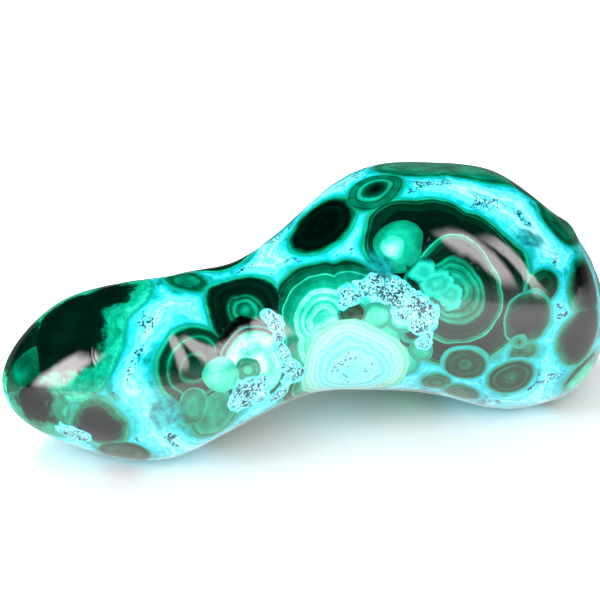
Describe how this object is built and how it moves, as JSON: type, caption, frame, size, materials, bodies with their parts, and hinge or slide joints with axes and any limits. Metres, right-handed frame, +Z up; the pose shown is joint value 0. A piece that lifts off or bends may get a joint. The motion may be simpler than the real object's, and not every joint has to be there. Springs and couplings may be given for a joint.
{
  "type": "tumbled malachite",
  "caption": "Palm-sized polished stone with a thin and a thick end, banded green malachite nodules in a net of turquoise chrysocolla.",
  "frame": {"origin": "middle of the stone's box, on the surface that it rests on", "axes": "+X from the thin end to the thick end, +Y to the back, +Z up"},
  "size_m": [0.0932, 0.0376, 0.0362],
  "materials": {
    "polished_malachite": "high polish, banded dark and light green with turquoise seams"
  },
  "bodies": {
    "root": {"tumbled_stone": "polished_malachite"}
  },
  "joints": []
}
